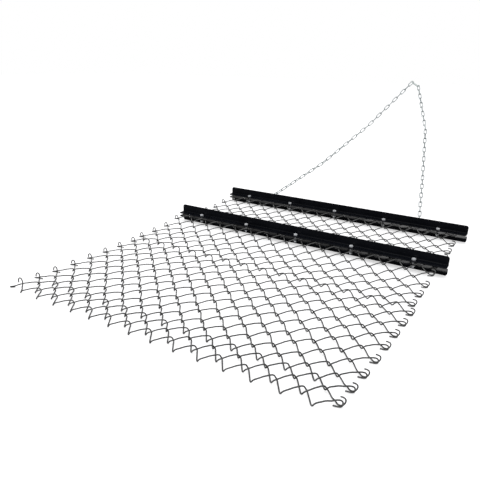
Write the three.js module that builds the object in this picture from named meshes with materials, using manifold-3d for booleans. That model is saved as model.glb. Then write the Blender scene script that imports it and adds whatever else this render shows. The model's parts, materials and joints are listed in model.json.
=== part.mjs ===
// Chain harrow: a drag mat of hooked zigzag wires, clamped by two pairs of
// bolted angle irons, with a tow chain in a V from the front beam to a hitch link.
// Millimetres. +X along the beams, +Y is the way it is towed, +Z up. The ground is z = 0.
// Built about the front beam, then moved so that the origin is on the ground under its middle.

import * as THREE from 'three';
import { mergeVertices } from 'three/addons/utils/BufferGeometryUtils.js';
import Module from 'manifold-3d';

const wasm = await Module();
wasm.setup();

// Beams: upper and lower angle irons with the mat between their flat legs
const beamLength = 1676;
const beamSpacing = 602;
const steelThickness = 4.8;
const legWidth = 50.8;
const upperLegHeight = 50.8;
const lowerLegHeight = 38.1;
const matSlot = 15.5;
const innerFillet = 5;
const toeRound = 2.4;
const endCornerRound = 13;

// Bolts through both flat legs
const boltsPerBeam = 5;
const boltPitch = 336;
const boltDiameter = 12.7;
const boltHoleDiameter = 14.3;
const boltLength = 44;
const headAcrossFlats = 19;
const headHeight = 8;
const nutHeight = 10.5;
const threadChamfer = 1.5;

// Mat wires: flattened spirals, each hooked through the next
const waves = 14;
const waveWidth = 112;
const rearWaveWidth = 109.4;
const tautRow = 57.2;
const heelOvershoot = 2.5;
const wireDiameter = 4.9;
const hookDepth = 5.1;
const waveRise = 3.9;
const bendHalfWidth = 3.2;
const armCrown = 7.2;
const matRestHeight = 7.6;
const rowsBetweenBeams = 10;
const rowsBehindBeam = 24;
const beamLineSlack = 1.2;
const tautSlack = 0.6;
const looseRowSlack = 20;
const looseRowShift = 16;
const looseRow = 8;
const rearSlack = 4;
const highLineSlack = 1.6;
const lastRowsSlack = 24;
const lastLooseRows = 3;
const highLineRise = 6;
const matOffset = -14;
const matBulge = 30;
const matLean = 50;
const dropShares = [0, 0.34, 0.66, 0.88, 0.98, 1];

// Knuckled wire ends, bent round each other past the last crossing. The shares are of the
// knuckle's reach: outwards, the way the wire was heading, and up.
const knuckleReach = 30;
const hookUnderShares = [
  [0.27, 0.2, 0.27], [0.73, 0.32, 0.23], [1, 0.1, 0.02], [0.8, -0.23, -0.12], [-0.07, -0.38, -0.12],
];
const hookOverShares = [
  [0.1, 0.08, -0.02], [0.8, 0.15, 0.1], [1.1, 0, 0.33], [0.97, -0.22, 0.52], [0.33, -0.28, 0.48],
];
const uprightLoopShares = [
  [0.1, 0.08, -0.02], [0.37, 0.3, 0.33], [0.6, 0.27, 0.7], [0.77, 0.03, 0.67], [0.7, -0.1, 0.3],
];
const strayEndShares = [[0.07, 0.07, 0.25], [0.47, 0.47, 0.22], [0.87, 0.93, 0.15], [1.17, 1.33, 0.07]];
const barbLength = 16;

// Tow chain of long oval links, one staple on the front beam at each end of the V
const chainWire = 6;
const linkPitch = 44;
const linkWidth = 24;
const leftLinksPerSpan = 11;
const rightLinksPerSpan = 10;
const leftStapleOffset = 500;
const rightStapleOffset = 545;
const stapleWire = 8;
const stapleReach = 22;
const stapleHalfWidth = 20;
const stapleShoulder = 5;
const stapleSeat = 9.5;
const spanElevations = [29.8, 39.2, 48.6];

// Hitch link at the top of the V
const hitchWire = 8;
const hitchInnerLength = 50;
const hitchInnerWidth = 28;
const hitchShift = 3;
const hitchDrop = 28;
const leftHitchSeat = 11.6;
const rightHitchSeat = 12.5;

// Clearances, weld-like overlaps and overruns
const fitGap = 0.3;
const fuseDepth = 0.5;
const cutOverrun = 1;

const roundSides = 12;
const stapleSides = 10;
const wireSides = 3;
const filletSteps = 3;

// Heights that follow from the stack of the clamp
const lowerTop = lowerLegHeight;
const upperUnder = lowerTop + matSlot;
const upperFlatTop = upperUnder + steelThickness;
const clampHeight = lowerTop + matSlot / 2;
const triangleRadius = wireDiameter / Math.sqrt(3);
const restHeight = matRestHeight;
const faceY = steelThickness / 2;

const paint = new THREE.MeshStandardMaterial({ color: 0x0b0b10, roughness: 0.25, metalness: 0.1 });
const galvanised = new THREE.MeshStandardMaterial({ color: 0x7e8486, roughness: 0.45, metalness: 0.9 });
const zinc = new THREE.MeshStandardMaterial({ color: 0xd9dde0, roughness: 0.25, metalness: 1 });
const chainZinc = new THREE.MeshStandardMaterial({ color: 0xb4b9bd, roughness: 0.35, metalness: 0.95 });

const harrow = new THREE.Group();

function addPart(name, geometry, material) {
  const mesh = new THREE.Mesh(geometry, material.clone());
  mesh.name = name;
  harrow.add(mesh);
  return mesh;
}

// Solid from a three.js geometry, and back

function solid(geometry) {
  const bare = geometry.index ? geometry.toNonIndexed() : geometry.clone();
  for (const key of Object.keys(bare.attributes)) {
    if (key !== 'position') bare.deleteAttribute(key);
  }
  const merged = mergeVertices(bare, beamLength / 1e8);
  return new wasm.Manifold(new wasm.Mesh({
    numProp: 3,
    vertProperties: new Float32Array(merged.attributes.position.array),
    triVerts: new Uint32Array(merged.index.array),
  }));
}

function geometryOf(body) {
  const mesh = body.getMesh();
  const geometry = new THREE.BufferGeometry();
  geometry.setAttribute('position', new THREE.BufferAttribute(new Float32Array(mesh.vertProperties), 3));
  geometry.setIndex(new THREE.BufferAttribute(new Uint32Array(mesh.triVerts), 1));
  return geometry;
}

// Tube along a polyline, mitred at each bend, capped unless it closes on itself

function ringAt(points, i, closed, normal) {
  const n = points.length;
  const before = closed || i > 0 ? points[(i - 1 + n) % n] : null;
  const after = closed || i < n - 1 ? points[(i + 1) % n] : null;
  const here = points[i];
  const into = (before ? here.clone().sub(before) : after.clone().sub(here)).normalize();
  const out = (after ? after.clone().sub(here) : into.clone()).normalize();
  const along = into.clone().add(out).normalize();
  const side = normal.clone().addScaledVector(into, -normal.dot(into)).normalize();
  return { here, into, out, along, side };
}

function mitredPoint(frame, offset) {
  const slide = -offset.dot(frame.along) / frame.into.dot(frame.along);
  return frame.here.clone().add(offset).addScaledVector(frame.into, slide);
}

function wireTube(points, radius, firstNormal, sides) {
  const rings = [];
  let normal = firstNormal.clone();
  points.forEach((point, i) => {
    const frame = ringAt(points, i, false, normal);
    const across = frame.into.clone().cross(frame.side);
    const ring = [];
    for (let k = 0; k < sides; k += 1) {
      const angle = (k / sides) * Math.PI * 2;
      const offset = frame.side.clone().multiplyScalar(radius * Math.cos(angle));
      offset.addScaledVector(across, radius * Math.sin(angle));
      ring.push(mitredPoint(frame, offset));
    }
    rings.push(ring);
    const turn = new THREE.Quaternion().setFromUnitVectors(frame.into, frame.out);
    normal = frame.side.clone().applyQuaternion(turn);
  });
  return tubeFromRings(rings, false);
}

function tubeFromRings(rings, closed) {
  const sides = rings[0].length;
  const positions = [];
  const index = [];
  rings.forEach((ring) => ring.forEach((point) => positions.push(point.x, point.y, point.z)));
  const spans = closed ? rings.length : rings.length - 1;
  for (let i = 0; i < spans; i += 1) {
    const a = i * sides;
    const b = ((i + 1) % rings.length) * sides;
    for (let k = 0; k < sides; k += 1) {
      const next = (k + 1) % sides;
      index.push(a + k, a + next, b + next, a + k, b + next, b + k);
    }
  }
  if (!closed) {
    const last = (rings.length - 1) * sides;
    for (let k = 1; k < sides - 1; k += 1) {
      index.push(0, k + 1, k, last, last + k, last + k + 1);
    }
  }
  const geometry = new THREE.BufferGeometry();
  geometry.setAttribute('position', new THREE.Float32BufferAttribute(positions, 3));
  geometry.setIndex(index);
  return geometry;
}

// Angle irons

function angleProfile(legHeight, up) {
  const shape = new THREE.Shape();
  const inner = steelThickness;
  shape.moveTo(0, 0);
  shape.lineTo(legWidth, 0);
  shape.lineTo(legWidth, inner - toeRound);
  shape.absarc(legWidth - toeRound, inner - toeRound, toeRound, 0, Math.PI / 2, false);
  shape.lineTo(inner + innerFillet, inner);
  shape.absarc(inner + innerFillet, inner + innerFillet, innerFillet, -Math.PI / 2, -Math.PI, true);
  shape.lineTo(inner, legHeight - toeRound);
  shape.absarc(inner - toeRound, legHeight - toeRound, toeRound, 0, Math.PI / 2, false);
  shape.lineTo(0, legHeight);
  const geometry = new THREE.ExtrudeGeometry(shape, {
    depth: beamLength,
    bevelEnabled: false,
    curveSegments: filletSteps,
  });
  geometry.translate(0, 0, -beamLength / 2);
  const toBeam = new THREE.Matrix4().makeBasis(
    new THREE.Vector3(0, -1, 0),
    new THREE.Vector3(0, 0, up),
    new THREE.Vector3(-up, 0, 0),
  );
  geometry.applyMatrix4(toBeam);
  return geometry;
}

function cornerCutter(radius, depth) {
  const reach = radius + cutOverrun;
  const shape = new THREE.Shape();
  shape.moveTo(0, radius);
  shape.lineTo(0, reach);
  shape.lineTo(reach, reach);
  shape.lineTo(reach, 0);
  shape.lineTo(radius, 0);
  shape.absarc(0, 0, radius, 0, Math.PI / 2, false);
  const geometry = new THREE.ExtrudeGeometry(shape, { depth, bevelEnabled: false, curveSegments: filletSteps });
  geometry.translate(0, 0, -depth / 2);
  return geometry;
}

function roundLegEnds(body, tip, towards, spread) {
  let result = body;
  for (const end of [-1, 1]) {
    const cutter = cornerCutter(endCornerRound, steelThickness * 2 + cutOverrun * 2);
    const outwards = new THREE.Vector3(end, 0, 0);
    const normal = outwards.clone().cross(towards);
    cutter.applyMatrix4(new THREE.Matrix4().makeBasis(outwards, towards, normal));
    const corner = new THREE.Vector3(end * (beamLength / 2 - endCornerRound), 0, 0);
    corner.addScaledVector(towards, tip - endCornerRound).add(spread);
    cutter.translate(corner.x, corner.y, corner.z);
    result = result.subtract(solid(cutter));
  }
  return result;
}

function boltPlaces(beamY) {
  const places = [];
  for (let k = 0; k < boltsPerBeam; k += 1) {
    places.push(new THREE.Vector3((k - (boltsPerBeam - 1) / 2) * boltPitch, beamY + faceY - legWidth / 2, 0));
  }
  return places;
}

function angleIron(beamY, upper) {
  const legHeight = upper ? upperLegHeight : lowerLegHeight;
  const up = upper ? 1 : -1;
  const geometry = angleProfile(legHeight, up);
  let body = solid(geometry);
  const middle = new THREE.Vector3(0, -steelThickness / 2, 0);
  body = roundLegEnds(body, legHeight, new THREE.Vector3(0, 0, up), middle);
  const flatMiddle = new THREE.Vector3(0, 0, (up * steelThickness) / 2);
  body = roundLegEnds(body, legWidth, new THREE.Vector3(0, -1, 0), flatMiddle);
  for (const place of boltPlaces(0)) {
    const hole = new THREE.CylinderGeometry(
      boltHoleDiameter / 2,
      boltHoleDiameter / 2,
      steelThickness * 2 + cutOverrun * 2,
      roundSides,
    );
    hole.rotateX(Math.PI / 2);
    hole.translate(place.x, place.y - faceY, 0);
    body = body.subtract(solid(hole));
  }
  const result = geometryOf(body);
  result.translate(0, beamY + faceY, upper ? upperUnder : lowerTop);
  return result;
}

const beams = [
  { name: 'front', y: 0 },
  { name: 'rear', y: -beamSpacing },
];

for (const beam of beams) {
  addPart(`${beam.name}_upper_angle`, angleIron(beam.y, true), paint);
  addPart(`${beam.name}_lower_angle`, angleIron(beam.y, false), paint);
}

// Bolts with their nuts, head up on the upper angle

function drum(radius, top, bottom, sides) {
  const geometry = new THREE.CylinderGeometry(radius, radius, top - bottom, sides);
  geometry.rotateX(Math.PI / 2);
  geometry.translate(0, 0, (top + bottom) / 2);
  return solid(geometry);
}

function boltWithNut() {
  const hexRadius = headAcrossFlats / Math.sqrt(3);
  const headUnder = upperFlatTop + fitGap;
  const nutTop = lowerTop - steelThickness - fitGap;
  const shankEnd = headUnder - boltLength;
  const shank = drum(boltDiameter / 2, headUnder + headHeight / 2, shankEnd + threadChamfer, roundSides);
  const point = drum(boltDiameter / 2 - threadChamfer, nutTop, shankEnd, roundSides);
  const head = drum(hexRadius, headUnder + headHeight, headUnder, 6);
  const nut = drum(hexRadius, nutTop, nutTop - nutHeight, 6);
  return geometryOf(shank.add(point).add(head).add(nut));
}

for (const beam of beams) {
  boltPlaces(beam.y).forEach((place, k) => {
    const bolt = addPart(`${beam.name}_bolt_${k + 1}`, boltWithNut(), zinc);
    bolt.position.set(place.x, place.y, 0);
  });
}

// Rows of the mat: where each wire hooks into the next, from the front beam to the free edge

const ampRow = tautRow + hookDepth;
const heelLine = faceY + heelOvershoot;
const wireCount = 2 + rowsBetweenBeams + rowsBehindBeam;
const rearClamp = 1 + rowsBetweenBeams;

function dropAt(rows) {
  const step = Math.min(rows, dropShares.length - 1);
  return (clampHeight - restHeight) * dropShares[step];
}

function betweenRowLength() {
  const need = beamSpacing - heelLine - (tautRow - heelLine);
  let row = need / rowsBetweenBeams;
  for (let pass = 0; pass < 8; pass += 1) {
    let lost = 0;
    for (let k = 0; k < rowsBetweenBeams; k += 1) {
      const rise = betweenDrop(k + 1) - betweenDrop(k);
      lost += row - Math.sqrt(row * row - rise * rise);
    }
    row = (need + lost) / rowsBetweenBeams;
  }
  return row;
}

function betweenDrop(k) {
  return dropAt(Math.min(k, rowsBetweenBeams - k));
}

// Behind the rear beam every other hinge line lies high and tight, and the rest low and loose
function isHighLine(line) {
  return line % 2 === 0 && line > rearClamp + 1 && line < wireCount;
}

// A low line lies as high as the long tips that dip below it need
function lineRise(line) {
  if (line === wireCount) return 0;
  return isHighLine(line) ? highLineRise : (highLineRise * slackAt(line)) / (tautRow * 2 - slackAt(line));
}

function slackAt(line) {
  const behind = line - rearClamp - 1;
  if (line === 1 || line === rearClamp || behind === 0) return beamLineSlack;
  if (behind < 0) return betweenSlack;
  if (behind < looseRow) return tautSlack;
  if (behind === looseRow) return looseRowSlack;
  if (isHighLine(line)) return highLineSlack;
  if (behind >= rowsBehindBeam - lastLooseRows) return lastRowsSlack;
  return rearSlack;
}

const slackBetweenBeams = (tautRow - betweenRowLength()) * rowsBetweenBeams;
const betweenSlack = (slackBetweenBeams - beamLineSlack) / (rowsBetweenBeams - 1);

function rowLength(wire) {
  return tautRow - (slackAt(wire) + slackAt(wire + 1)) / 2;
}

// lines[k] is the hinge line where wire k - 1 hooks wire k
const lines = [];
lines[1] = { y: heelLine - tautRow, z: clampHeight };
for (let wire = 1; wire <= rowsBetweenBeams; wire += 1) {
  const z = clampHeight - betweenDrop(wire);
  const fall = z - lines[wire].z;
  const row = rowLength(wire);
  lines[wire + 1] = { y: lines[wire].y - Math.sqrt(row * row - fall * fall), z };
}
lines[0] = { y: lines[1].y + rowLength(0), z: clampHeight };
lines[rearClamp + 1] = { y: lines[rearClamp].y - rowLength(rearClamp), z: clampHeight };
for (let wire = rearClamp + 1; wire < wireCount; wire += 1) {
  const drop = dropAt(wire - rearClamp);
  const settled = drop / (clampHeight - restHeight);
  const z = clampHeight - drop + lineRise(wire + 1) * settled;
  const fall = z - lines[wire].z;
  const row = rowLength(wire);
  lines[wire + 1] = { y: lines[wire].y - Math.sqrt(row * row - fall * fall), z };
}

// Share of the way from the rear beam to the free edge
function rearwardShare(wire) {
  return Math.max(0, wire - rearClamp - 1) / (rowsBehindBeam - 1);
}

function sideShift(wire) {
  const share = rearwardShare(wire);
  const behind = Math.max(0, wire - rearClamp);
  const jog = (looseRowShift / 2) * (behind > looseRow ? 1 : -behind / looseRow);
  return matOffset + matBulge * share - matLean * share * share + jog;
}

function waveOf(wire) {
  return waveWidth + (rearWaveWidth - waveWidth) * rearwardShare(wire);
}

// Path of one wire in its own plane: u across the mat, v towards the front, w up from the plane

function bend(u, v, first) {
  return [
    new THREE.Vector3(u - bendHalfWidth, v, first * waveRise),
    new THREE.Vector3(u + bendHalfWidth, v, -first * waveRise),
  ];
}

function knuckleEnd(u, line, side, way, lastRow) {
  // way is +1 where the wire heads for the front, -1 where it heads for the rear
  const above = side * way > 0;
  let shares = above ? hookUnderShares : hookOverShares;
  if (side < 0 && !above) shares = uprightLoopShares;
  if (side < 0 && above && lastRow) shares = strayEndShares;
  return shares.map(([a, b, c]) => new THREE.Vector3(
    u + side * a * knuckleReach,
    line + way * b * knuckleReach,
    c * knuckleReach,
  ));
}

function barbedEnd(u, tip, side, way, rise) {
  const run = barbLength * Math.SQRT1_2;
  return [
    new THREE.Vector3(u - side * bendHalfWidth, tip, rise * waveRise),
    new THREE.Vector3(u + side * bendHalfWidth, tip, -rise * waveRise),
    new THREE.Vector3(u + side * (bendHalfWidth + run), tip - way * run, -rise * waveRise),
  ];
}

function wirePath(wire) {
  const width = waveOf(wire);
  const centre = sideShift(wire);
  const front = (hookDepth + slackAt(wire)) / 2;
  const rearTip = front - ampRow;
  const endsAtFront = wire % 2 === 1;
  const endLine = endsAtFront ? 0 : rearTip + (hookDepth + slackAt(wire + 1)) / 2;
  const endTip = endsAtFront ? front : rearTip;
  const barbed = wire === 0 || wire === 1 || wire === rearClamp - 1 || wire === rearClamp;
  const clamped = wire === 0 || wire === rearClamp;
  const lastRow = wire >= wireCount - 2;
  const way = endsAtFront ? 1 : -1;
  const left = centre - (waves / 2) * width;
  const right = centre + (waves / 2) * width;
  const points = [];
  // Top of the arched arm that ends at bend k
  const crown = (k) => new THREE.Vector3(left + ((k - 1 / 2) * width) / 2, (front + rearTip) / 2, armCrown);
  // Left end: the arm that leaves it rises to the right when the end is at the rear
  if (barbed) points.push(...barbedEnd(left, endTip, -1, way, -way).reverse());
  else points.push(...knuckleEnd(left, endLine, -1, way, lastRow).reverse());
  for (let k = 1; k < waves * 2; k += 1) {
    const atFront = endsAtFront ? k % 2 === 0 : k % 2 === 1;
    if (atFront && !clamped) points.push(crown(k));
    points.push(...bend(left + (k * width) / 2, atFront ? front : rearTip, atFront ? 1 : -1));
  }
  if (endsAtFront && !clamped) points.push(crown(waves * 2));
  if (barbed) points.push(...barbedEnd(right, endTip, 1, way, way));
  else points.push(...knuckleEnd(right, endLine, 1, way, lastRow));
  return points;
}

function wireGeometry(wire) {
  const ahead = lines[wire];
  const behind = lines[wire + 1];
  const forwards = new THREE.Vector3(0, ahead.y - behind.y, ahead.z - behind.z).normalize();
  const across = new THREE.Vector3(1, 0, 0);
  const up = across.clone().cross(forwards);
  const toMat = new THREE.Matrix4().makeBasis(across, forwards, up);
  toMat.setPosition(0, ahead.y, ahead.z);
  const points = wirePath(wire).map((point) => point.applyMatrix4(toMat));
  return wireTube(points, triangleRadius, forwards, wireSides);
}

for (let wire = 0; wire < wireCount; wire += 1) {
  addPart(`mat_wire_${String(wire + 1).padStart(2, '0')}`, wireGeometry(wire), galvanised);
}

// Chain links: one oval ring, its wire a three-sided tube with an edge on the inside

const linkTriangle = chainWire / 2 + fitGap;
const linkHalf = (linkPitch + chainWire) / 2;

function ovalRing(halfLength, halfWidth, radius) {
  const crown = halfWidth / 2;
  const shoulder = halfLength - halfWidth;
  const outline = [
    [shoulder, halfWidth],
    [-shoulder, halfWidth],
    [-halfLength, crown],
    [-halfLength, -crown],
    [-shoulder, -halfWidth],
    [shoulder, -halfWidth],
    [halfLength, -crown],
    [halfLength, crown],
  ].map(([a, b]) => new THREE.Vector3(a, b, 0));
  const flat = new THREE.Vector3(0, 0, 1);
  const rings = outline.map((point, i) => {
    const frame = ringAt(outline, i, true, flat);
    const inwards = flat.clone().cross(frame.into);
    const ring = [];
    for (let k = 0; k < 3; k += 1) {
      const angle = (k / 3) * Math.PI * 2;
      const offset = inwards.clone().multiplyScalar(radius * Math.cos(angle));
      offset.addScaledVector(flat, radius * Math.sin(angle));
      ring.push(mitredPoint(frame, offset));
    }
    return ring;
  });
  return tubeFromRings(rings, true);
}

// The V: three spans a side. The folds between spans lie on lines across the harrow,
// so both sides fold about the same two lines.

const linkStep = linkHalf * 2 - linkTriangle * 2 + fuseDepth;
const hingeReach = linkHalf - linkTriangle - fitGap / 2;
const hitchTriangle = hitchWire / 2 + fitGap;
const hitchHalf = (hitchInnerLength + hitchWire) / 2;
const hitchHalfWidth = (hitchInnerWidth + hitchWire) / 2;
const hitchRun = Math.sqrt((hitchHalf * 2) ** 2 - hitchDrop ** 2);
const firstReach = linkHalf - stapleSeat;
const lastSpan = spanElevations.length - 1;

function spanLengths(links, hitchSeat) {
  const inside = (links - 1) * linkStep;
  const lastReach = linkHalf - hitchSeat;
  return [firstReach + inside + hingeReach, hingeReach * 2 + inside, hingeReach + inside + lastReach];
}

const leftSpans = spanLengths(leftLinksPerSpan, leftHitchSeat);
const rightSpans = spanLengths(rightLinksPerSpan, rightHitchSeat);

// One span's step from its start to its end, for a side and a plan angle of the left chain
function spanStep(side, span, heading) {
  const reach = leftSpans[span] * Math.cos(heading);
  const angle = THREE.MathUtils.degToRad(spanElevations[span]);
  const forwards = reach * Math.cos(angle);
  let rise = reach * Math.sin(angle);
  if (side < 0) return new THREE.Vector3(leftSpans[span] * Math.sin(heading), forwards, rise);
  if (span === lastSpan) rise -= hitchDrop;
  const room = rightSpans[span] ** 2 - forwards ** 2 - rise ** 2;
  return new THREE.Vector3(-Math.sqrt(Math.max(0, room)), forwards, rise);
}

function spreadAt(heading) {
  let spread = hitchRun;
  spanElevations.forEach((elevation, span) => {
    spread += spanStep(-1, span, heading).x - spanStep(1, span, heading).x;
  });
  return spread;
}

function solveHeading() {
  let low = Math.acos(Math.min(...rightSpans.map((length, span) => length / leftSpans[span])));
  let high = Math.PI / 2;
  for (let pass = 0; pass < 60; pass += 1) {
    const middle = (low + high) / 2;
    if (spreadAt(middle) < leftStapleOffset + rightStapleOffset) low = middle;
    else high = middle;
  }
  return (low + high) / 2;
}

const heading = solveHeading();
const stapleAxis = {
  y: faceY + fitGap + stapleReach,
  z: upperFlatTop + (upperLegHeight - steelThickness) / 2,
};

// Direction across a link: a quarter turn at each link, with a slight twist spread along the chain

const acrossHarrow = new THREE.Vector3(1, 0, 0);
const alongPull = new THREE.Vector3(0, 1, 0);

function squareTo(direction, reference) {
  return reference.clone().addScaledVector(direction, -reference.dot(direction)).normalize();
}

function twistOf(direction, links) {
  const first = squareTo(direction, acrossHarrow);
  const last = squareTo(direction, alongPull);
  const angle = Math.atan2(direction.dot(first.clone().cross(last)), first.dot(last));
  const turns = ((links - 1) * Math.PI) / 2;
  const twist = (angle - turns) % Math.PI;
  if (twist > Math.PI / 2) return twist - Math.PI;
  if (twist < -Math.PI / 2) return twist + Math.PI;
  return twist;
}

function chainSpans(side) {
  const links = side < 0 ? leftLinksPerSpan : rightLinksPerSpan;
  const total = links * spanElevations.length;
  const offset = side < 0 ? -leftStapleOffset : rightStapleOffset;
  const start = new THREE.Vector3(offset, stapleAxis.y, stapleAxis.z);
  const twist = twistOf(spanStep(side, lastSpan, heading).normalize(), total);
  const spans = [];
  spanElevations.forEach((elevation, span) => {
    const step = spanStep(side, span, heading);
    const direction = step.clone().normalize();
    const body = [];
    for (let k = 0; k < links; k += 1) {
      const place = span * links + k;
      const roll = (place * Math.PI) / 2 + (twist * place) / (total - 1);
      const normal = squareTo(direction, acrossHarrow).applyAxisAngle(direction, roll);
      const width = normal.clone().cross(direction);
      const distance = (span === 0 ? firstReach : hingeReach) + k * linkStep;
      const centre = start.clone().addScaledVector(direction, distance);
      const link = ovalRing(linkHalf, (linkWidth - chainWire) / 2, linkTriangle);
      link.applyMatrix4(new THREE.Matrix4().makeBasis(direction, width, normal).setPosition(centre));
      body.push(solid(link));
    }
    spans.push({ body, start: start.clone() });
    start.add(step);
  });
  return { spans, end: start };
}

const spanNames = ['lower', 'middle', 'upper'];
const chains = [
  { name: 'left', ...chainSpans(-1) },
  { name: 'right', ...chainSpans(1) },
];
for (const chain of chains) {
  chain.spans.forEach((span, i) => {
    const joined = span.body.reduce((whole, link) => whole.add(link));
    addPart(`${chain.name}_chain_${spanNames[i]}`, geometryOf(joined), chainZinc);
  });
}

// Hitch link: bridges the two chain ends, its flat side facing up

const hitch = ovalRing(hitchHalf, hitchHalfWidth, hitchTriangle);
const hitchCentre = chains[0].end.clone().add(chains[1].end).multiplyScalar(1 / 2);
hitch.rotateY(Math.asin(hitchDrop / (hitchHalf * 2)));
hitch.translate(hitchCentre.x, hitchCentre.y + hitchShift, hitchCentre.z);
addPart('hitch_link', hitch, zinc);

// Tow staples on the front face of the front upper angle, each a bar that the first link swings on

function towStaple() {
  const reach = stapleReach;
  const points = [
    new THREE.Vector3(-stapleHalfWidth, 0, 0),
    new THREE.Vector3(-stapleHalfWidth, reach - stapleShoulder, 0),
    new THREE.Vector3(stapleShoulder - stapleHalfWidth, reach, 0),
    new THREE.Vector3(stapleHalfWidth - stapleShoulder, reach, 0),
    new THREE.Vector3(stapleHalfWidth, reach - stapleShoulder, 0),
    new THREE.Vector3(stapleHalfWidth, 0, 0),
  ];
  return wireTube(points, stapleWire / 2, new THREE.Vector3(0, 0, 1), stapleSides);
}

for (const [name, offset] of [['left_tow_staple', -leftStapleOffset], ['right_tow_staple', rightStapleOffset]]) {
  const staple = addPart(name, towStaple(), paint);
  staple.position.set(offset, faceY + fitGap, stapleAxis.z);
}

// Origin on the ground, under the middle of the whole
const bounds = new THREE.Box3().setFromObject(harrow);
const middle = bounds.getCenter(new THREE.Vector3());
harrow.children.forEach((mesh) => mesh.position.sub(new THREE.Vector3(middle.x, middle.y, bounds.min.z)));

export default harrow;
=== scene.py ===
import json
import math

import bmesh
import bpy
from mathutils import Matrix, Quaternion, Vector, kdtree


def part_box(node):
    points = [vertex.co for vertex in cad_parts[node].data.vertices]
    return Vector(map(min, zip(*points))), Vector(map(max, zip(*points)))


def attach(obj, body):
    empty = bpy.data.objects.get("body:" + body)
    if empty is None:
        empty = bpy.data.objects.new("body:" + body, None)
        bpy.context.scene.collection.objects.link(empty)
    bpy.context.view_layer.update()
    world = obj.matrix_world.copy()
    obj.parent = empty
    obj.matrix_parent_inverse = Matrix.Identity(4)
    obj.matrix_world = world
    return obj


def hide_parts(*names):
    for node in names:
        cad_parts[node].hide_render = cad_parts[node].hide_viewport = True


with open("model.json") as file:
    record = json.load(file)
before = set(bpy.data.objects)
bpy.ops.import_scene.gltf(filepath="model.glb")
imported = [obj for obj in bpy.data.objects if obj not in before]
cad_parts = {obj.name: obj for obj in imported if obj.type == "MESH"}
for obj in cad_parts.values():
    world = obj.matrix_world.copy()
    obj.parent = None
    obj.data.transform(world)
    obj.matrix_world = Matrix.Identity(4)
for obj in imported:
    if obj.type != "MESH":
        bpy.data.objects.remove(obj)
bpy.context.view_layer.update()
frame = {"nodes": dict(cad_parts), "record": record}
scene = bpy.context.scene
body_of_node = {n: b for b, members in frame["record"]["behaviour"]["bodies"].items() for n in members}

# Sizes, in millimetres as in the solids, but for the mat wire, which is drawn a little thicker
BEAM_SPACING = 602.0
STEEL = 4.8
LEG = 50.8
UPPER_LEG = 50.8
LOWER_LEG = 38.1
MAT_SLOT = 15.5

BOLTS_PER_BEAM = 5
BOLT_PITCH = 336.0
BOLT_DIAMETER = 12.7
BOLT_LENGTH = 44.0
HEAD_FLATS = 19.0
HEAD_HEIGHT = 8.0
NUT_HEIGHT = 10.5
THREAD_PITCH = 2.0
THREAD_DEPTH = 1.0
THREAD_FLAT = 0.25
THREAD_SPARE = 2.2
SHANK_IN_HEAD = 1.0
SHANK_SIDES = 32
TIP_LENGTH = 1.2
TIP_SHOULDER = 0.6
TIP_INSET = 1.6
CHAMFER_INSET = 0.4
CHAMFER_ANGLE = 30
CHAMFER_SPARE = 0.3
CHAMFER_SIDES = 48
CUTTER_OVERHANG = 0.5
CUTTER_MARGIN = 0.1
BOLT_TURN_STEP = 17
FIRST_BOLT_TURN = {"front": 8, "rear": 31}

WAVES = 14
WAVE = 112.0
REAR_WAVE = 109.4
TAUT_ROW = 57.2
HEEL_OVERSHOOT = 2.5
WIRE = 5.5
HOOK_DEPTH = 5.1
REST_HEIGHT = 7.6
ROWS_BETWEEN = 10
ROWS_BEHIND = 24
BEAM_LINE_SLACK = 1.2
TAUT_SLACK = 0.6
LOOSE_ROW_SLACK = 20.0
LOOSE_ROW_SHIFT = 16.0
LOOSE_ROW = 8
REAR_SLACK = 4.0
HIGH_LINE_SLACK = 1.6
LAST_ROWS_SLACK = 24.0
LAST_LOOSE_ROWS = 3
HIGH_LINE_RISE = 6.0
MAT_OFFSET = -14.0
MAT_BULGE = 30.0
MAT_LEAN = 50.0
DROP_SHARES = [0, 0.34, 0.66, 0.88, 0.98, 1]

CHAIN_WIRE = 6.0
LINK_PITCH = 44.0
LINK_WIDTH = 24.0
LEFT_LINKS = 11
RIGHT_LINKS = 10
LEFT_STAPLE = 500.0
RIGHT_STAPLE = 545.0
STAPLE_WIRE = 8.0
STAPLE_REACH = 22.0
STAPLE_HALF_WIDTH = 20.0
STAPLE_SEAT = 9.5
STAPLE_CORNER = 5.0
STAPLE_EASE = 6.0
CORNER_CUT = 0.3
SPAN_ELEVATIONS = [29.8, 39.2, 48.6]
HITCH_WIRE = 8.0
HITCH_INNER_LENGTH = 50.0
HITCH_INNER_WIDTH = 28.0
HITCH_NARROWING = 1.9
HITCH_SHIFT = 3.0
HITCH_DROP = 28.0
LEFT_HITCH_SEAT = 11.6
RIGHT_HITCH_SEAT = 12.5

FIT_GAP = 0.3
FUSE = 0.5

LOWER_TOP = LOWER_LEG
UPPER_UNDER = LOWER_TOP + MAT_SLOT
UPPER_FLAT_TOP = UPPER_UNDER + STEEL
CLAMP_HEIGHT = LOWER_TOP + MAT_SLOT / 2
FACE_Y = STEEL / 2

# The solids are built about the front beam; the frame's origin is under the middle of the whole
SHIFT_Y = (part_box("front_upper_angle")[1].y * 1000) - FACE_Y


def place(p):
    """A point of the solids' own layout, in metres in the frame."""
    return Vector((p[0], p[1] + SHIFT_Y, p[2])) / 1000


# Small helpers

def link_object(name, data):
    obj = bpy.data.objects.new(name, data)
    scene.collection.objects.link(obj)
    return obj


def stand_for(obj, node):
    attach(obj, body_of_node[node])
    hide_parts(node)
    return obj


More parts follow.
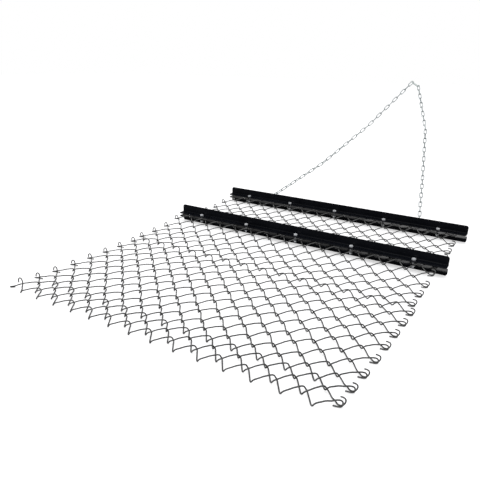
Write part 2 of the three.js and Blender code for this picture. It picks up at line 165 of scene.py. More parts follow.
def flowing(points, steps):
    """A smooth run of points through the given ones."""
    n = len(points)
    out = []
    for i in range(n - 1):
        p1, p2 = points[i], points[i + 1]
        p0 = points[i - 1] if i else p1 * 2 - p2
        p3 = points[i + 2] if i + 2 < n else p2 * 2 - p1
        t0 = 0.0
        t1 = t0 + max((p1 - p0).length, 1e-9) ** 0.5
        t2 = t1 + max((p2 - p1).length, 1e-9) ** 0.5
        t3 = t2 + max((p3 - p2).length, 1e-9) ** 0.5
        for s in range(steps):
            t = t1 + (t2 - t1) * s / steps
            a1 = p0 * ((t1 - t) / (t1 - t0)) + p1 * ((t - t0) / (t1 - t0))
            a2 = p1 * ((t2 - t) / (t2 - t1)) + p2 * ((t - t1) / (t2 - t1))
            a3 = p2 * ((t3 - t) / (t3 - t2)) + p3 * ((t - t2) / (t3 - t2))
            b1 = a1 * ((t2 - t) / (t2 - t0)) + a2 * ((t - t0) / (t2 - t0))
            b2 = a2 * ((t3 - t) / (t3 - t1)) + a3 * ((t - t1) / (t3 - t1))
            out.append(b1 * ((t2 - t) / (t2 - t1)) + b2 * ((t - t1) / (t2 - t1)))
    out.append(points[-1].copy())
    return out


def round_bar(name, runs, diameter, closed=False, fineness=2):
    """A mesh of round bar along one or more runs of points, in metres."""
    curve = bpy.data.curves.new(name + "_path", "CURVE")
    curve.dimensions = "3D"
    curve.bevel_depth = diameter / 2000
    curve.bevel_resolution = fineness
    curve.use_fill_caps = not closed
    curve.twist_mode = "MINIMUM"
    for run in runs:
        spline = curve.splines.new("POLY")
        spline.points.add(len(run) - 1)
        for point, p in zip(spline.points, run):
            point.co = (*place(p), 1.0)
        spline.use_cyclic_u = closed
        spline.use_smooth = True
    holder = bpy.data.objects.new(name + "_path", curve)
    scene.collection.objects.link(holder)
    bpy.context.view_layer.update()
    mesh = bpy.data.meshes.new_from_object(holder.evaluated_get(bpy.context.evaluated_depsgraph_get()))
    bpy.data.objects.remove(holder)
    bpy.data.curves.remove(curve)
    mesh.name = name
    body = bmesh.new()
    body.from_mesh(mesh)
    bmesh.ops.remove_doubles(body, verts=body.verts, dist=1e-6)
    bmesh.ops.recalc_face_normals(body, faces=body.faces)
    body.to_mesh(mesh)
    body.free()
    mesh.shade_smooth()
    return link_object(name, mesh)


def mark_contact_shade(obj, centres, reach):
    """Writes how near each point of the piece is to a place where it touches another, from 0 to 1, as the
    mask for painted shade there.
    """
    tree = kdtree.KDTree(len(centres))
    for i, c in enumerate(centres):
        tree.insert(place(c), i)
    tree.balance()
    layer = obj.data.attributes.new("painted_contact_shade", "FLOAT", "POINT")
    values = []
    for vertex in obj.data.vertices:
        distance = tree.find(vertex.co)[2] * 1000
        values.append(max(0.0, 1.0 - distance / reach))
    layer.data.foreach_set("value", values)


# Materials

class Nodes:
    """A material's nodes, added one at a time and joined by socket name."""

    def __init__(self, name):
        self.material = bpy.data.materials.new(name)
        self.material.use_nodes = True
        self.tree = self.material.node_tree
        self.shader = self.tree.nodes["Principled BSDF"]
        self.where = self.add("ShaderNodeTexCoord").outputs["Object"]

    def add(self, kind, **values):
        node = self.tree.nodes.new(kind)
        for key, value in values.items():
            setattr(node, key, value)
        return node

    def join(self, a, b):
        self.tree.links.new(a, b)

    def noise(self, scale, detail=3.0, roughness=0.55):
        node = self.add("ShaderNodeTexNoise")
        node.inputs["Scale"].default_value = scale
        node.inputs["Detail"].default_value = detail
        node.inputs["Roughness"].default_value = roughness
        self.join(self.where, node.inputs["Vector"])
        return node.outputs["Fac"]

    def cells(self, scale):
        node = self.add("ShaderNodeTexVoronoi")
        node.inputs["Scale"].default_value = scale
        self.join(self.where, node.inputs["Vector"])
        return node

    def ramp(self, value, stops):
        node = self.add("ShaderNodeValToRGB")
        while len(node.color_ramp.elements) < len(stops):
            node.color_ramp.elements.new(0.5)
        for element, (position, colour) in zip(node.color_ramp.elements, stops):
            element.position = position
            element.color = (*colour, 1) if isinstance(colour, tuple) else (colour, colour, colour, 1)
        self.join(value, node.inputs["Fac"])
        return node.outputs["Color"]

    def mix(self, fac, a, b):
        node = self.add("ShaderNodeMix", data_type="RGBA")
        for socket, value in ((node.inputs["Factor"], fac), (node.inputs["A"], a), (node.inputs["B"], b)):
            if isinstance(value, bpy.types.NodeSocket):
                self.join(value, socket)
            elif isinstance(value, tuple):
                socket.default_value = (*value, 1)
            else:
                socket.default_value = value
        return node.outputs["Result"]

    def maths(self, operation, a, b):
        node = self.add("ShaderNodeMath", operation=operation)
        for socket, value in zip(node.inputs, (a, b)):
            if isinstance(value, bpy.types.NodeSocket):
                self.join(value, socket)
            else:
                socket.default_value = value
        return node.outputs["Value"]

    def spread(self, value, low, high):
        node = self.add("ShaderNodeMapRange")
        node.inputs["To Min"].default_value = low
        node.inputs["To Max"].default_value = high
        self.join(value, node.inputs["Value"])
        return node.outputs["Result"]

    def bump(self, height, strength, distance):
        node = self.add("ShaderNodeBump")
        node.inputs["Strength"].default_value = strength
        node.inputs["Distance"].default_value = distance
        self.join(height, node.inputs["Height"])
        self.join(node.outputs["Normal"], self.shader.inputs["Normal"])

    def attribute(self, name):
        return self.add("ShaderNodeAttribute", attribute_name=name).outputs["Fac"]


def gloss_paint():
    m = Nodes("gloss_black_paint")
    cloud = m.noise(9, 4)
    base = m.ramp(cloud, [(0.35, (0.0035, 0.0042, 0.0065)), (0.7, (0.0075, 0.0085, 0.012))])
    dust = m.ramp(m.noise(140, 5, 0.7), [(0.60, 0.0), (0.78, 1.0)])
    base = m.mix(m.maths("MULTIPLY", dust, 0.22), base, (0.05, 0.052, 0.056))
    m.join(base, m.shader.inputs["Base Color"])
    m.join(m.spread(m.noise(26, 3), 0.16, 0.34), m.shader.inputs["Roughness"])
    m.shader.inputs["Specular IOR Level"].default_value = 0.16
    m.bump(m.noise(420, 2), 0.10, 0.0004)
    return m.material


def galvanised_wire():
    m = Nodes("galvanised_wire")
    spangle = m.cells(260).outputs["Color"]
    cloud = m.noise(38, 4)
    dark, middle, light = (0.10, 0.102, 0.101), (0.145, 0.147, 0.145), (0.22, 0.224, 0.22)
    tone = m.ramp(cloud, [(0.3, dark), (0.52, middle), (0.75, light)])
    grey = m.add("ShaderNodeRGBToBW")
    m.join(spangle, grey.inputs["Color"])
    tone = m.mix(0.28, tone, m.ramp(grey.outputs["Val"], [(0.2, 0.09), (0.8, 0.34)]))
    # Painted shade: the wire is darkened towards near black where it crosses and hooks round the next wires.
    shade_near_crossings = m.attribute("painted_contact_shade")
    tone = m.mix(m.spread(shade_near_crossings, 0.0, 0.75), tone, (0.035, 0.034, 0.033))
    m.join(tone, m.shader.inputs["Base Color"])
    m.shader.inputs["Metallic"].default_value = 0.55
    m.join(m.spread(m.noise(85, 3), 0.34, 0.58), m.shader.inputs["Roughness"])
    m.bump(m.noise(520, 3), 0.25, 0.0004)
    return m.material


def bright_zinc():
    m = Nodes("bright_zinc_bolts")
    tone = m.ramp(m.noise(120, 3), [(0.3, (0.82, 0.85, 0.87)), (0.7, (0.94, 0.96, 0.98))])
    m.join(tone, m.shader.inputs["Base Color"])
    m.shader.inputs["Metallic"].default_value = 0.15
    m.join(m.spread(m.noise(240, 3), 0.22, 0.42), m.shader.inputs["Roughness"])
    m.bump(m.noise(900, 2), 0.15, 0.0002)
    return m.material


def chain_zinc():
    m = Nodes("zinc_chain")
    tone = m.ramp(m.noise(70, 4), [(0.3, (0.50, 0.55, 0.55)), (0.7, (0.74, 0.79, 0.79))])
    # Painted shade: the links are darker towards their crowns, where they hang in one another.
    tone = m.mix(m.spread(m.attribute("painted_contact_shade"), 0.0, 0.5), tone, (0.16, 0.17, 0.165))
    m.join(tone, m.shader.inputs["Base Color"])
    m.shader.inputs["Metallic"].default_value = 0.5
    m.join(m.spread(m.noise(160, 3), 0.26, 0.46), m.shader.inputs["Roughness"])
    m.bump(m.noise(600, 2), 0.2, 0.0003)
    return m.material


def hitch_zinc():
    m = Nodes("zinc_hitch")
    tone = m.ramp(m.noise(60, 4), [(0.3, (0.74, 0.82, 0.80)), (0.7, (0.88, 0.94, 0.92))])
    m.join(tone, m.shader.inputs["Base Color"])
    m.shader.inputs["Metallic"].default_value = 0.4
    m.join(m.spread(m.noise(200, 3), 0.28, 0.46), m.shader.inputs["Roughness"])
    m.bump(m.noise(700, 2), 0.2, 0.0003)
    return m.material


PAINT = gloss_paint()
WIRE_ZINC = galvanised_wire()
BOLT_ZINC = bright_zinc()
CHAIN_ZINC = chain_zinc()
HITCH_ZINC = hitch_zinc()


# Angle irons

def angle_piece(node):
    """The node's own shape, welded into one skin and shaded as rolled steel."""
    mesh = frame["nodes"][node].data.copy()
    mesh.name = node + "_steel"
    body = bmesh.new()
    body.from_mesh(mesh)
    bmesh.ops.remove_doubles(body, verts=body.verts, dist=1e-6)
    bmesh.ops.dissolve_limit(body, angle_limit=math.radians(0.5), verts=body.verts, edges=body.edges)
    bmesh.ops.recalc_face_normals(body, faces=body.faces)
    body.to_mesh(mesh)
    body.free()
    mesh.shade_smooth()
    mesh.set_sharp_from_angle(angle=math.radians(50))
    obj = link_object(node + "_steel", mesh)
    soft = obj.modifiers.new("flat_faces", "WEIGHTED_NORMAL")
    soft.keep_sharp = True
    mesh.materials.clear()
    mesh.materials.append(PAINT)
    return stand_for(obj, node)


for node in ("front_upper_angle", "front_lower_angle", "rear_upper_angle", "rear_lower_angle"):
    angle_piece(node)


# Bolts

def lathe(body, profile, sides):
    """Turns a profile of (radius, height) in millimetres about the upright axis."""
    corners = [body.verts.new((r / 1000, 0, z / 1000)) for r, z in profile]
    edges = [body.edges.new((a, b)) for a, b in zip(corners, corners[1:])]
    bmesh.ops.spin(body, geom=corners + edges, cent=(0, 0, 0), axis=(0, 0, 1), dvec=(0, 0, 0),
                   angle=math.tau, steps=sides, use_duplicate=False)
    bmesh.ops.remove_doubles(body, verts=body.verts, dist=1e-7)
    bmesh.ops.holes_fill(body, edges=body.edges, sides=0)
    bmesh.ops.recalc_face_normals(body, faces=body.faces)


def mesh_of(name, build):
    body = bmesh.new()
    build(body)
    mesh = bpy.data.meshes.new(name)
    body.to_mesh(mesh)
    body.free()
    return mesh


def hex_block(name, top, bottom, chamfer_top, chamfer_bottom):
    """A hexagon whose corners are turned off to a cone at its chamfered faces."""
    across = HEAD_FLATS / math.sqrt(3)
    flat = HEAD_FLATS / 2 - CHAMFER_INSET

    def prism(body):
        middle = Matrix.Translation((0, 0, (top + bottom) / 2000))
        radius = across / 1000
        bmesh.ops.create_cone(body, cap_ends=True, segments=6, radius1=radius, radius2=radius,
                              depth=(top - bottom) / 1000, matrix=middle)

    def turned(body):
        fall = (across - flat) * math.tan(math.radians(CHAMFER_ANGLE)) + CHAMFER_SPARE
        outside = across + CUTTER_MARGIN
        under, over = bottom - CUTTER_OVERHANG, top + CUTTER_OVERHANG
        profile = [(0, under)]
        if chamfer_bottom:
            profile += [(flat, under), (flat, bottom), (outside, bottom + fall)]
        else:
            profile.append((outside, under))
        if chamfer_top:
            profile += [(outside, top - fall), (flat, top), (flat, over)]
        else:
            profile.append((outside, over))
        profile.append((0, over))
        lathe(body, profile, CHAMFER_SIDES)

    solid = link_object(name, mesh_of(name, prism))
    cutter = link_object(name + "_turned", mesh_of(name + "_turned", turned))
    cut = solid.modifiers.new("turned", "BOOLEAN")
    cut.operation = "INTERSECT"
    cut.solver = "EXACT"
    cut.object = cutter
    bpy.context.view_layer.update()
    mesh = bpy.data.meshes.new_from_object(solid.evaluated_get(bpy.context.evaluated_depsgraph_get()))
    bpy.data.objects.remove(solid)
    bpy.data.objects.remove(cutter)
    return mesh


def bolt_mesh():
    head_under = UPPER_FLAT_TOP + FIT_GAP
    nut_top = LOWER_TOP - STEEL - FIT_GAP
    end = head_under - BOLT_LENGTH
    head = hex_block("bolt_head", head_under + HEAD_HEIGHT, head_under, True, False)
    nut = hex_block("bolt_nut", nut_top, nut_top - NUT_HEIGHT, True, True)

    def shank(body):
        radius = BOLT_DIAMETER / 2
        inside = head_under + SHANK_IN_HEAD
        profile = [(0, inside), (radius, inside), (radius, nut_top + THREAD_PITCH)]
        z = nut_top + THREAD_PITCH / 2
        while z > end + THREAD_SPARE:
            profile += [(radius, z), (radius, z - THREAD_FLAT), (radius - THREAD_DEPTH, z - THREAD_PITCH / 2)]
            profile.append((radius, z - THREAD_PITCH + THREAD_FLAT))
            z -= THREAD_PITCH
        profile += [(radius - TIP_SHOULDER, end + TIP_LENGTH), (radius - TIP_INSET, end), (0, end)]
        lathe(body, profile, SHANK_SIDES)

    joined = bmesh.new()
    for part in (head, nut, mesh_of("bolt_shank", shank)):
        joined.from_mesh(part)
    mesh = bpy.data.meshes.new("bolt")
    joined.to_mesh(mesh)
    joined.free()
    return mesh


BOLT = bolt_mesh()
for beam, beam_y in (("front", 0.0), ("rear", -BEAM_SPACING)):
    for k in range(BOLTS_PER_BEAM):
        node = f"{beam}_bolt_{k + 1}"
        mesh = BOLT.copy()
        turn = Matrix.Rotation(math.radians(BOLT_TURN_STEP * k + FIRST_BOLT_TURN[beam]), 4, "Z")
        x = (k - (BOLTS_PER_BEAM - 1) / 2) * BOLT_PITCH
        mesh.transform(Matrix.Translation(place((x, beam_y + FACE_Y - LEG / 2, 0))) @ turn)
        mesh.name = node + "_zinc"
        mesh.shade_smooth()
        mesh.set_sharp_from_angle(angle=math.radians(28))
        mesh.materials.clear()
        mesh.materials.append(BOLT_ZINC)
        stand_for(link_object(node + "_zinc", mesh), node)


# Rows of the mat, as in the solids

AMP_ROW = TAUT_ROW + HOOK_DEPTH
HEEL_LINE = FACE_Y + HEEL_OVERSHOOT
WIRE_COUNT = 2 + ROWS_BETWEEN + ROWS_BEHIND
REAR_CLAMP = 1 + ROWS_BETWEEN


def drop_at(rows):
    return (CLAMP_HEIGHT - REST_HEIGHT) * DROP_SHARES[min(rows, len(DROP_SHARES) - 1)]


def between_drop(k):
    return drop_at(min(k, ROWS_BETWEEN - k))


def between_row_length():
    need = BEAM_SPACING - HEEL_LINE - (TAUT_ROW - HEEL_LINE)
    row = need / ROWS_BETWEEN
    for _ in range(8):
        lost = 0.0
        for k in range(ROWS_BETWEEN):
            rise = between_drop(k + 1) - between_drop(k)
            lost += row - math.sqrt(row * row - rise * rise)
        row = (need + lost) / ROWS_BETWEEN
    return row


SLACK_BETWEEN_BEAMS = (TAUT_ROW - between_row_length()) * ROWS_BETWEEN
BETWEEN_SLACK = (SLACK_BETWEEN_BEAMS - BEAM_LINE_SLACK) / (ROWS_BETWEEN - 1)


def is_high_line(line):
    return line % 2 == 0 and REAR_CLAMP + 1 < line < WIRE_COUNT


def line_rise(line):
    if line == WIRE_COUNT:
        return 0.0
    if is_high_line(line):
        return HIGH_LINE_RISE
    return HIGH_LINE_RISE * slack_at(line) / (TAUT_ROW * 2 - slack_at(line))


def slack_at(line):
    behind = line - REAR_CLAMP - 1
    if line in (1, REAR_CLAMP, REAR_CLAMP + 1):
        return BEAM_LINE_SLACK
    if behind < 0:
        return BETWEEN_SLACK
    if behind < LOOSE_ROW:
        return TAUT_SLACK
    if behind == LOOSE_ROW:
        return LOOSE_ROW_SLACK
    if is_high_line(line):
        return HIGH_LINE_SLACK
    if behind >= ROWS_BEHIND - LAST_LOOSE_ROWS:
        return LAST_ROWS_SLACK
    return REAR_SLACK


def row_length(wire):
    return TAUT_ROW - (slack_at(wire) + slack_at(wire + 1)) / 2


def hinge_lines():
    lines = {1: (HEEL_LINE - TAUT_ROW, CLAMP_HEIGHT)}
    for wire in range(1, ROWS_BETWEEN + 1):
        z = CLAMP_HEIGHT - between_drop(wire)
        fall = z - lines[wire][1]
        lines[wire + 1] = (lines[wire][0] - math.sqrt(row_length(wire) ** 2 - fall * fall), z)
    lines[0] = (lines[1][0] + row_length(0), CLAMP_HEIGHT)
    lines[REAR_CLAMP + 1] = (lines[REAR_CLAMP][0] - row_length(REAR_CLAMP), CLAMP_HEIGHT)
    for wire in range(REAR_CLAMP + 1, WIRE_COUNT):
        drop = drop_at(wire - REAR_CLAMP)
        z = CLAMP_HEIGHT - drop + line_rise(wire + 1) * drop / (CLAMP_HEIGHT - REST_HEIGHT)
        fall = z - lines[wire][1]
        lines[wire + 1] = (lines[wire][0] - math.sqrt(row_length(wire) ** 2 - fall * fall), z)
    return lines


LINES = hinge_lines()


def rearward_share(wire):
    return max(0, wire - REAR_CLAMP - 1) / (ROWS_BEHIND - 1)


def side_shift(wire):
    share = rearward_share(wire)
    behind = max(0, wire - REAR_CLAMP)
    jog = LOOSE_ROW_SHIFT / 2 * (1 if behind > LOOSE_ROW else -behind / LOOSE_ROW)
    return MAT_OFFSET + MAT_BULGE * share - MAT_LEAN * share * share + jog


def wave_of(wire):
    return WAVE + (REAR_WAVE - WAVE) * rearward_share(wire)


# Mat wires

# Height of a wire above its row's plane, by distance along the row of waves from a bend's tip
UPPER_RISE = [(1.8, 0.25, 2.6), (3.6, 1.2, 5.0), (6.5, 3.8, 7.2), (10.5, 8.0, 8.6)]
LOWER_RISE = [(2.2, 0.15, 2.6), (4.6, 1.0, 3.6), (8.2, 4.0, 3.8)]
CROWN = 10.6
CROWN_FALL = (22, 12)
UPPER_SHARES = (0.26, 0.5, 0.74)
LOWER_SHARES = (0.33, 0.67)
LOWER_HEIGHT = 3.8
# Reach in millimetres of the painted shade around the bends where wires cross.
SHADE_NEAR_BENDS = 12.0

# The wires before and behind the rear beam's own wire rise later, to fold without meeting its flange
BEAM_RISE = [(1.8, 0.25, 2.4), (3.6, 1.2, 3.9), (6.5, 3.8, 4.8), (10.5, 8.0, 8.2)]


def arm_points(tip, next_tip, upper, flat, rise):
    """Points of one arm: out of one bend, along the arm, and into the next."""
    (u0, v0), (u1, v1) = tip, next_tip
    way = 1 if v1 > v0 else -1
    run, climb = u1 - u0, abs(v1 - v0)
    near = rise if upper and not flat else LOWER_RISE
    sign = 1 if upper else -1
    out = [Vector((u0 + a, v0 + way * b, sign * c)) for a, b, c in near]
    du, dv, _ = near[-1]
    for share in (UPPER_SHARES if upper else LOWER_SHARES):
        height = LOWER_HEIGHT
        if upper and not flat:
            height = CROWN - (0.5 - share) ** 2 * CROWN_FALL[share >= 0.5]
        along = v0 + way * (dv + (climb - 2 * dv) * share)
        out.append(Vector((u0 + du + (run - 2 * du) * share, along, sign * height)))
    out += [Vector((u1 - a, v1 - way * b, sign * c)) for a, b, c in reversed(near)]
    return out


# Knuckled ends, from where two wires cross at the edge: outwards, the way the wire was heading, and height
HOOK_UNDER = [
    (-11, -11, 9.8), (0, 0, 9.2), (9, 6.5, 8.4), (17, 9.5, 7.2), (23, 8.5, 4.6),
    (26, 3.5, 0.6), (24.5, -3, -3.2), (18, -7.5, -4.1), (8, -10, -4.1), (-5, -12, -4.1),
]
HOOK_OVER = [
    (-12, -12, -3.7), (-3, -3, -1.2), (5, 4, 0.6), (13, 6, 1.0), (22, 4.5, 2.8),
    (28.5, 1.5, 8), (31.5, -3, 15), (29, -7.5, 20), (21, -9.5, 22), (9, -9.5, 22),
]
UPRIGHT_LOOP = [
    (-12, -12, -3.7), (-3, -3, -1.2), (4, 4, 1.8), (10, 8.5, 8), (14, 10, 15),
    (17.5, 8.5, 21), (21, 5, 23.5), (23, 1, 20.5), (22, -2, 14), (20, -3.5, 8),
]
STRAY_END = [
    (-11, -11, 9.4), (0, 0, 8.2), (12, 12, 5.8), (24, 26, 2.4),
    (33, 37, 3.4), (35.5, 40.5, 2.4), (33, 38.5, 0.2), (21, 25, -1.6),
]
BARB = 16.0
BARB_START = 3.2
BARB_HEIGHT = LOWER_HEIGHT * 0.9
HOOK_REACH = 0.88


def knuckle(u, line, side, way, last_row):
    """The end of a wire at the edge of the mat, listed from the mat outwards."""
    upper = side * way > 0
    shape = HOOK_UNDER if upper else HOOK_OVER
    lift = 1.0
    if side < 0:
        if last_row and upper:
            shape = STRAY_END
        if not upper:
            shape = UPRIGHT_LOOP
            lift = 1.25 if last_row else 1.0
    reach = HOOK_REACH if side > 0 else 1.0
    return [Vector((u + side * a * reach, line + way * b, c * (lift if c > 0 else 1.0))) for a, b, c in shape]


def barb(u, tip, side, way, rise):
    run = BARB * math.sqrt(0.5)
    return [
        Vector((u - side * BARB_START, tip, rise * BARB_HEIGHT)),
        Vector((u, tip, 0)),
        Vector((u + side * BARB_START, tip, -rise * BARB_HEIGHT)),
        Vector((u + side * (BARB_START + run), tip - way * run, -rise * LOWER_HEIGHT)),
    ]


def wire_run(wire):
    width, centre = wave_of(wire), side_shift(wire)
    front = (HOOK_DEPTH + slack_at(wire)) / 2
    rear_tip = front - AMP_ROW
    ends_in_front = wire % 2 == 1
    end_line = 0.0 if ends_in_front else rear_tip + (HOOK_DEPTH + slack_at(wire + 1)) / 2
    end_tip = front if ends_in_front else rear_tip
    barbed = wire in (0, 1, REAR_CLAMP - 1, REAR_CLAMP)
    flat = wire in (0, REAR_CLAMP)
    last_row = wire >= WIRE_COUNT - 2
    rise = BEAM_RISE if wire in (REAR_CLAMP - 1, REAR_CLAMP + 1) else UPPER_RISE
    way = 1 if ends_in_front else -1
    left, right = centre - WAVES / 2 * width, centre + WAVES / 2 * width
    tips = []
    for k in range(0, WAVES * 2 + 1):
        in_front = (k % 2 == 0) if ends_in_front else (k % 2 == 1)
        tips.append((left + k * width / 2, front if in_front else rear_tip, in_front))
    tips[0] = (left, end_tip if barbed else end_line, ends_in_front)
    tips[-1] = (right, end_tip if barbed else end_line, ends_in_front)
    if barbed:
        left_end = barb(left, end_tip, -1, way, -way)
        right_end = barb(right, end_tip, 1, way, way)
    else:
        left_end = knuckle(left, end_line, -1, way, last_row)
        right_end = knuckle(right, end_line, 1, way, last_row)
    points = left_end[::-1]
    for k in range(WAVES * 2):
        a, b = tips[k], tips[k + 1]
        upper = b[2]
        run = arm_points(a[:2], b[:2], upper, flat, rise)
        near = len(rise) if upper and not flat else len(LOWER_RISE)
        points += run[near if k == 0 else 0: -near if k == WAVES * 2 - 1 else None]
        if k < WAVES * 2 - 1:
            points.append(Vector((b[0], b[1], 0.0)))
    return flowing(points + right_end, steps=2)


def mat_wire(wire):
    node = f"mat_wire_{wire + 1:02d}"
    (y0, z0), (y1, z1) = LINES[wire], LINES[wire + 1]
    forwards = Vector((0, y0 - y1, z0 - z1)).normalized()
    across = Vector((1, 0, 0))
    up = across.cross(forwards)
    start = Vector((0, y0, z0))
    run = [start + across * p.x + forwards * p.y + up * p.z for p in wire_run(wire)]
    obj = round_bar(node + "_round", [run], WIRE)
    centres = []
    width = wave_of(wire)
    for line, (y, z) in ((wire, (y0, z0)), (wire + 1, (y1, z1))):
        at_line = [k for k in range(WAVES * 2 + 1) if (k % 2 == 0) == ((wire % 2 == 1) == (line == wire))]
        centres += [(side_shift(wire) + (k - WAVES) * width / 2, y, z) for k in at_line]
    # The bends where this wire meets the next wires carry the painted shade.
    mark_contact_shade(obj, centres, SHADE_NEAR_BENDS)
    obj.data.materials.clear()
    obj.data.materials.append(WIRE_ZINC)
    return stand_for(obj, node)


for wire in range(WIRE_COUNT):
    mat_wire(wire)


# Tow chain

LINK_TRIANGLE = CHAIN_WIRE / 2 + FIT_GAP
LINK_HALF = (LINK_PITCH + CHAIN_WIRE) / 2
LINK_STEP = LINK_HALF * 2 - LINK_TRIANGLE * 2 + FUSE
HINGE_REACH = LINK_HALF - LINK_TRIANGLE - FIT_GAP / 2
HITCH_HALF = (HITCH_INNER_LENGTH + HITCH_WIRE) / 2
HITCH_HALF_WIDTH = (HITCH_INNER_WIDTH + HITCH_WIRE) / 2 - HITCH_NARROWING
HITCH_RUN = math.sqrt((HITCH_HALF * 2) ** 2 - HITCH_DROP ** 2)
FIRST_REACH = LINK_HALF - STAPLE_SEAT
LAST_SPAN = len(SPAN_ELEVATIONS) - 1
# Reach in millimetres of the painted shade around each link's crowns.
SHADE_NEAR_CROWNS = 8.0


def span_lengths(links, hitch_seat):
    inside = (links - 1) * LINK_STEP
    last = HINGE_REACH + inside + LINK_HALF - hitch_seat
    return [FIRST_REACH + inside + HINGE_REACH, HINGE_REACH * 2 + inside, last]


LEFT_SPANS = span_lengths(LEFT_LINKS, LEFT_HITCH_SEAT)
RIGHT_SPANS = span_lengths(RIGHT_LINKS, RIGHT_HITCH_SEAT)


def span_step(side, span, heading):
    reach = LEFT_SPANS[span] * math.cos(heading)
    angle = math.radians(SPAN_ELEVATIONS[span])
    forwards, rise = reach * math.cos(angle), reach * math.sin(angle)
    if side < 0:
        return Vector((LEFT_SPANS[span] * math.sin(heading), forwards, rise))
    if span == LAST_SPAN:
        rise -= HITCH_DROP
    return Vector((-math.sqrt(max(0.0, RIGHT_SPANS[span] ** 2 - forwards ** 2 - rise ** 2)), forwards, rise))


def solve_heading():
    low = math.acos(min(r / l for r, l in zip(RIGHT_SPANS, LEFT_SPANS)))
    high = math.pi / 2
    for _ in range(60):
        middle = (low + high) / 2
        steps = [(span_step(-1, s, middle), span_step(1, s, middle)) for s in range(LAST_SPAN + 1)]
        spread = HITCH_RUN + sum(on_left.x - on_right.x for on_left, on_right in steps)
        if spread < LEFT_STAPLE + RIGHT_STAPLE:
            low = middle
        else:
            high = middle
    return (low + high) / 2


HEADING = solve_heading()
STAPLE_Y = FACE_Y + FIT_GAP + STAPLE_REACH
STAPLE_Z = UPPER_FLAT_TOP + (UPPER_LEG - STEEL) / 2
ACROSS, PULL = Vector((1, 0, 0)), Vector((0, 1, 0))


def square_to(direction, reference):
    return (reference - direction * reference.dot(direction)).normalized()


def twist_of(direction, links):
    first, last = square_to(direction, ACROSS), square_to(direction, PULL)
    angle = math.atan2(direction.dot(first.cross(last)), first.dot(last))
    twist = math.fmod(angle - (links - 1) * math.pi / 2, math.pi)
    if twist > math.pi / 2:
        return twist - math.pi
    if twist < -math.pi / 2:
        return twist + math.pi
    return twist


def oval(half_length, half_width, crown_steps=10):
    """Centre line of an oval link: two straight sides and two half rounds."""
    straight = half_length - half_width
    points = []
    for end in (1, -1):
        for i in range(crown_steps + 1):
            a = -math.pi / 2 + math.pi * i / crown_steps
            along = straight + half_width * math.cos(a)
            points.append(Vector((end * along, end * half_width * math.sin(a), 0)))
        for share in (0.25, 0.5, 0.75):
            points.append(Vector((end * straight * (1 - 2 * share), end * half_width, 0)))
    return points


def chain_spans(side):
    links = LEFT_LINKS if side < 0 else RIGHT_LINKS
    total = links * len(SPAN_ELEVATIONS)
    start = Vector((-LEFT_STAPLE if side < 0 else RIGHT_STAPLE, STAPLE_Y, STAPLE_Z))
    twist = twist_of(span_step(side, LAST_SPAN, HEADING).normalized(), total)
    spans = []
    for span in range(len(SPAN_ELEVATIONS)):
        step = span_step(side, span, HEADING)
        direction = step.normalized()
        rings, crowns = [], []
        for k in range(links):
            number = span * links + k
            roll = number * math.pi / 2 + twist * number / (total - 1)
            normal = Quaternion(direction, roll) @ square_to(direction, ACROSS)
            width = normal.cross(direction)
            distance = (FIRST_REACH if span == 0 else HINGE_REACH) + k * LINK_STEP
            centre = start + direction * distance
            rings.append([centre + direction * p.x + width * p.y + normal * p.z
                          for p in oval(LINK_HALF, (LINK_WIDTH - CHAIN_WIRE) / 2)])
            reach = LINK_HALF - CHAIN_WIRE / 2
            crowns += [centre + direction * reach, centre - direction * reach]
        spans.append((rings, crowns))
        start = start + step
    return spans, start


ends = []
for side, name in ((-1, "left"), (1, "right")):
    spans, end = chain_spans(side)
    ends.append(end)
    for (rings, crowns), level in zip(spans, ("lower", "middle", "upper")):
        node = f"{name}_chain_{level}"
        obj = round_bar(node + "_links", rings, CHAIN_WIRE, closed=True, fineness=3)
        # The crowns, where the links meet, carry the painted shade.
        mark_contact_shade(obj, crowns, SHADE_NEAR_CROWNS)
        obj.data.materials.clear()
        obj.data.materials.append(CHAIN_ZINC)
        stand_for(obj, node)

hitch_centre = (ends[0] + ends[1]) / 2 + Vector((0, HITCH_SHIFT, 0))
tilt = Matrix.Rotation(math.asin(HITCH_DROP / (HITCH_HALF * 2)), 3, "Y")
hitch_run = [hitch_centre + tilt @ p for p in oval(HITCH_HALF, HITCH_HALF_WIDTH, 14)]
hitch = round_bar("hitch_link_round", [hitch_run], HITCH_WIRE, closed=True, fineness=4)
hitch.data.materials.clear()
hitch.data.materials.append(HITCH_ZINC)
stand_for(hitch, "hitch_link")


# Tow staples

def staple(name, x):
    r = STAPLE_REACH
    w = STAPLE_HALF_WIDTH
    corner = STAPLE_CORNER
    cut = corner * CORNER_CUT
    half = [
        Vector((-w, 0, 0)), Vector((-w, r - corner - STAPLE_EASE, 0)), Vector((-w, r - corner, 0)),
        Vector((-w + cut, r - cut, 0)), Vector((-w + corner, r, 0)),
        Vector((-w + corner + STAPLE_EASE, r, 0)),
    ]
    points = half + [Vector((0, r, 0))] + [Vector((-p.x, p.y, p.z)) for p in reversed(half)]
    run = [p + Vector((x, FACE_Y + FIT_GAP, STAPLE_Z)) for p in flowing(points, steps=3)]
    obj = round_bar(name + "_rod", [run], STAPLE_WIRE, fineness=3)
    obj.data.materials.clear()
    obj.data.materials.append(PAINT)
    stand_for(obj, name)


staple("left_tow_staple", -LEFT_STAPLE)
staple("right_tow_staple", RIGHT_STAPLE)


# Floor, light and camera

FLOOR_GLOW = 0.58
FLOOR_IN_MIRRORS = 0.22
WORLD_ON_SURFACES = 0.62
WORLD_IN_MIRRORS = 0.27
WORLD_BLUE = 1.02
SENSOR = 36.0
PICTURE_PIXELS = 480
FOCAL_PIXELS = 494.06
CAMERA_PLACE = (1144.7, -3107.86, 991.4)


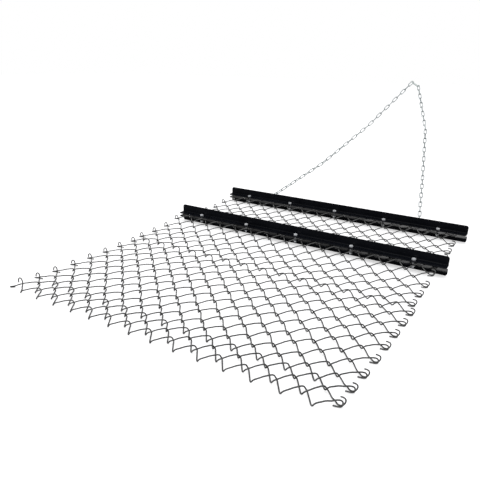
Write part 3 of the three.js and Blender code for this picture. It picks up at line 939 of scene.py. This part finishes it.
def floor_material():
    m = Nodes("pale_floor")
    m.shader.inputs["Roughness"].default_value = 0.9
    m.shader.inputs["Specular IOR Level"].default_value = 0.1
    tone = m.ramp(m.noise(3, 2), [(0.3, (0.80, 0.80, 0.80)), (0.7, (0.82, 0.82, 0.82))])
    path = m.add("ShaderNodeLightPath")
    glow = m.maths("MULTIPLY", path.outputs["Is Camera Ray"], FLOOR_GLOW)
    tone = m.mix(path.outputs["Is Glossy Ray"], tone, (FLOOR_IN_MIRRORS,) * 3)
    m.shader.inputs["Emission Color"].default_value = (1, 1, 1, 1)
    m.join(glow, m.shader.inputs["Emission Strength"])
    m.join(tone, m.shader.inputs["Base Color"])
    return m.material


ground = mesh_of("floor", lambda body: bmesh.ops.create_grid(body, x_segments=8, y_segments=8, size=30))
floor = link_object("floor", ground)
ground.materials.append(floor_material())

world = bpy.data.worlds.new("soft_studio")
scene.world = world
world.use_nodes = True
tree = world.node_tree
background = tree.nodes["Background"]
path = tree.nodes.new("ShaderNodeLightPath")
seen = tree.nodes.new("ShaderNodeMix")
mirrored = tree.nodes.new("ShaderNodeMix")
for node, a, b in ((mirrored, WORLD_ON_SURFACES, WORLD_IN_MIRRORS), (seen, 0.0, 1.0)):
    node.data_type = "RGBA"
    node.inputs["A"].default_value = (a, a, a * WORLD_BLUE, 1)
    node.inputs["B"].default_value = (b, b, b, 1)
tree.links.new(path.outputs["Is Glossy Ray"], mirrored.inputs["Factor"])
tree.links.new(path.outputs["Is Camera Ray"], seen.inputs["Factor"])
tree.links.new(mirrored.outputs["Result"], seen.inputs["A"])
tree.links.new(seen.outputs["Result"], background.inputs["Color"])
background.inputs["Strength"].default_value = 1.0


def area_light(name, position, target, size, power):
    data = bpy.data.lights.new(name, "AREA")
    data.shape = "RECTANGLE"
    data.size, data.size_y = size
    data.energy = power
    lamp = link_object(name, data)
    lamp.location = position
    lamp.rotation_euler = (Vector(target) - Vector(position)).to_track_quat("-Z", "Y").to_euler()


area_light("top_light", (0.6, -0.6, 4.5), (0, 0, 0), (5, 5), 60)
area_light("left_light", (-6.5, 2.4, 1.2), (-0.2, -0.4, 0), (3.4, 1.8), 210)
area_light("window_light", (-0.4, 7.0, 2.4), (0, 0, 0), (2.6, 1.6), 14)

camera_data = bpy.data.cameras.new("camera")
camera_data.sensor_fit = "HORIZONTAL"
camera_data.sensor_width = SENSOR
camera_data.lens = FOCAL_PIXELS / PICTURE_PIXELS * SENSOR
camera_data.clip_start, camera_data.clip_end = 0.05, 100
camera = link_object("camera", camera_data)
forward = Vector((-0.4924, 0.8029, -0.3363)).normalized()
right = Vector((0.8489, 0.5284, 0.0186))
right = (right - forward * right.dot(forward)).normalized()
up = right.cross(forward)
turned = Matrix((right, up, -forward)).transposed().to_4x4()
camera.matrix_world = Matrix.Translation(place(CAMERA_PLACE)) @ turned
scene.camera = camera
scene.view_settings.view_transform = "Standard"
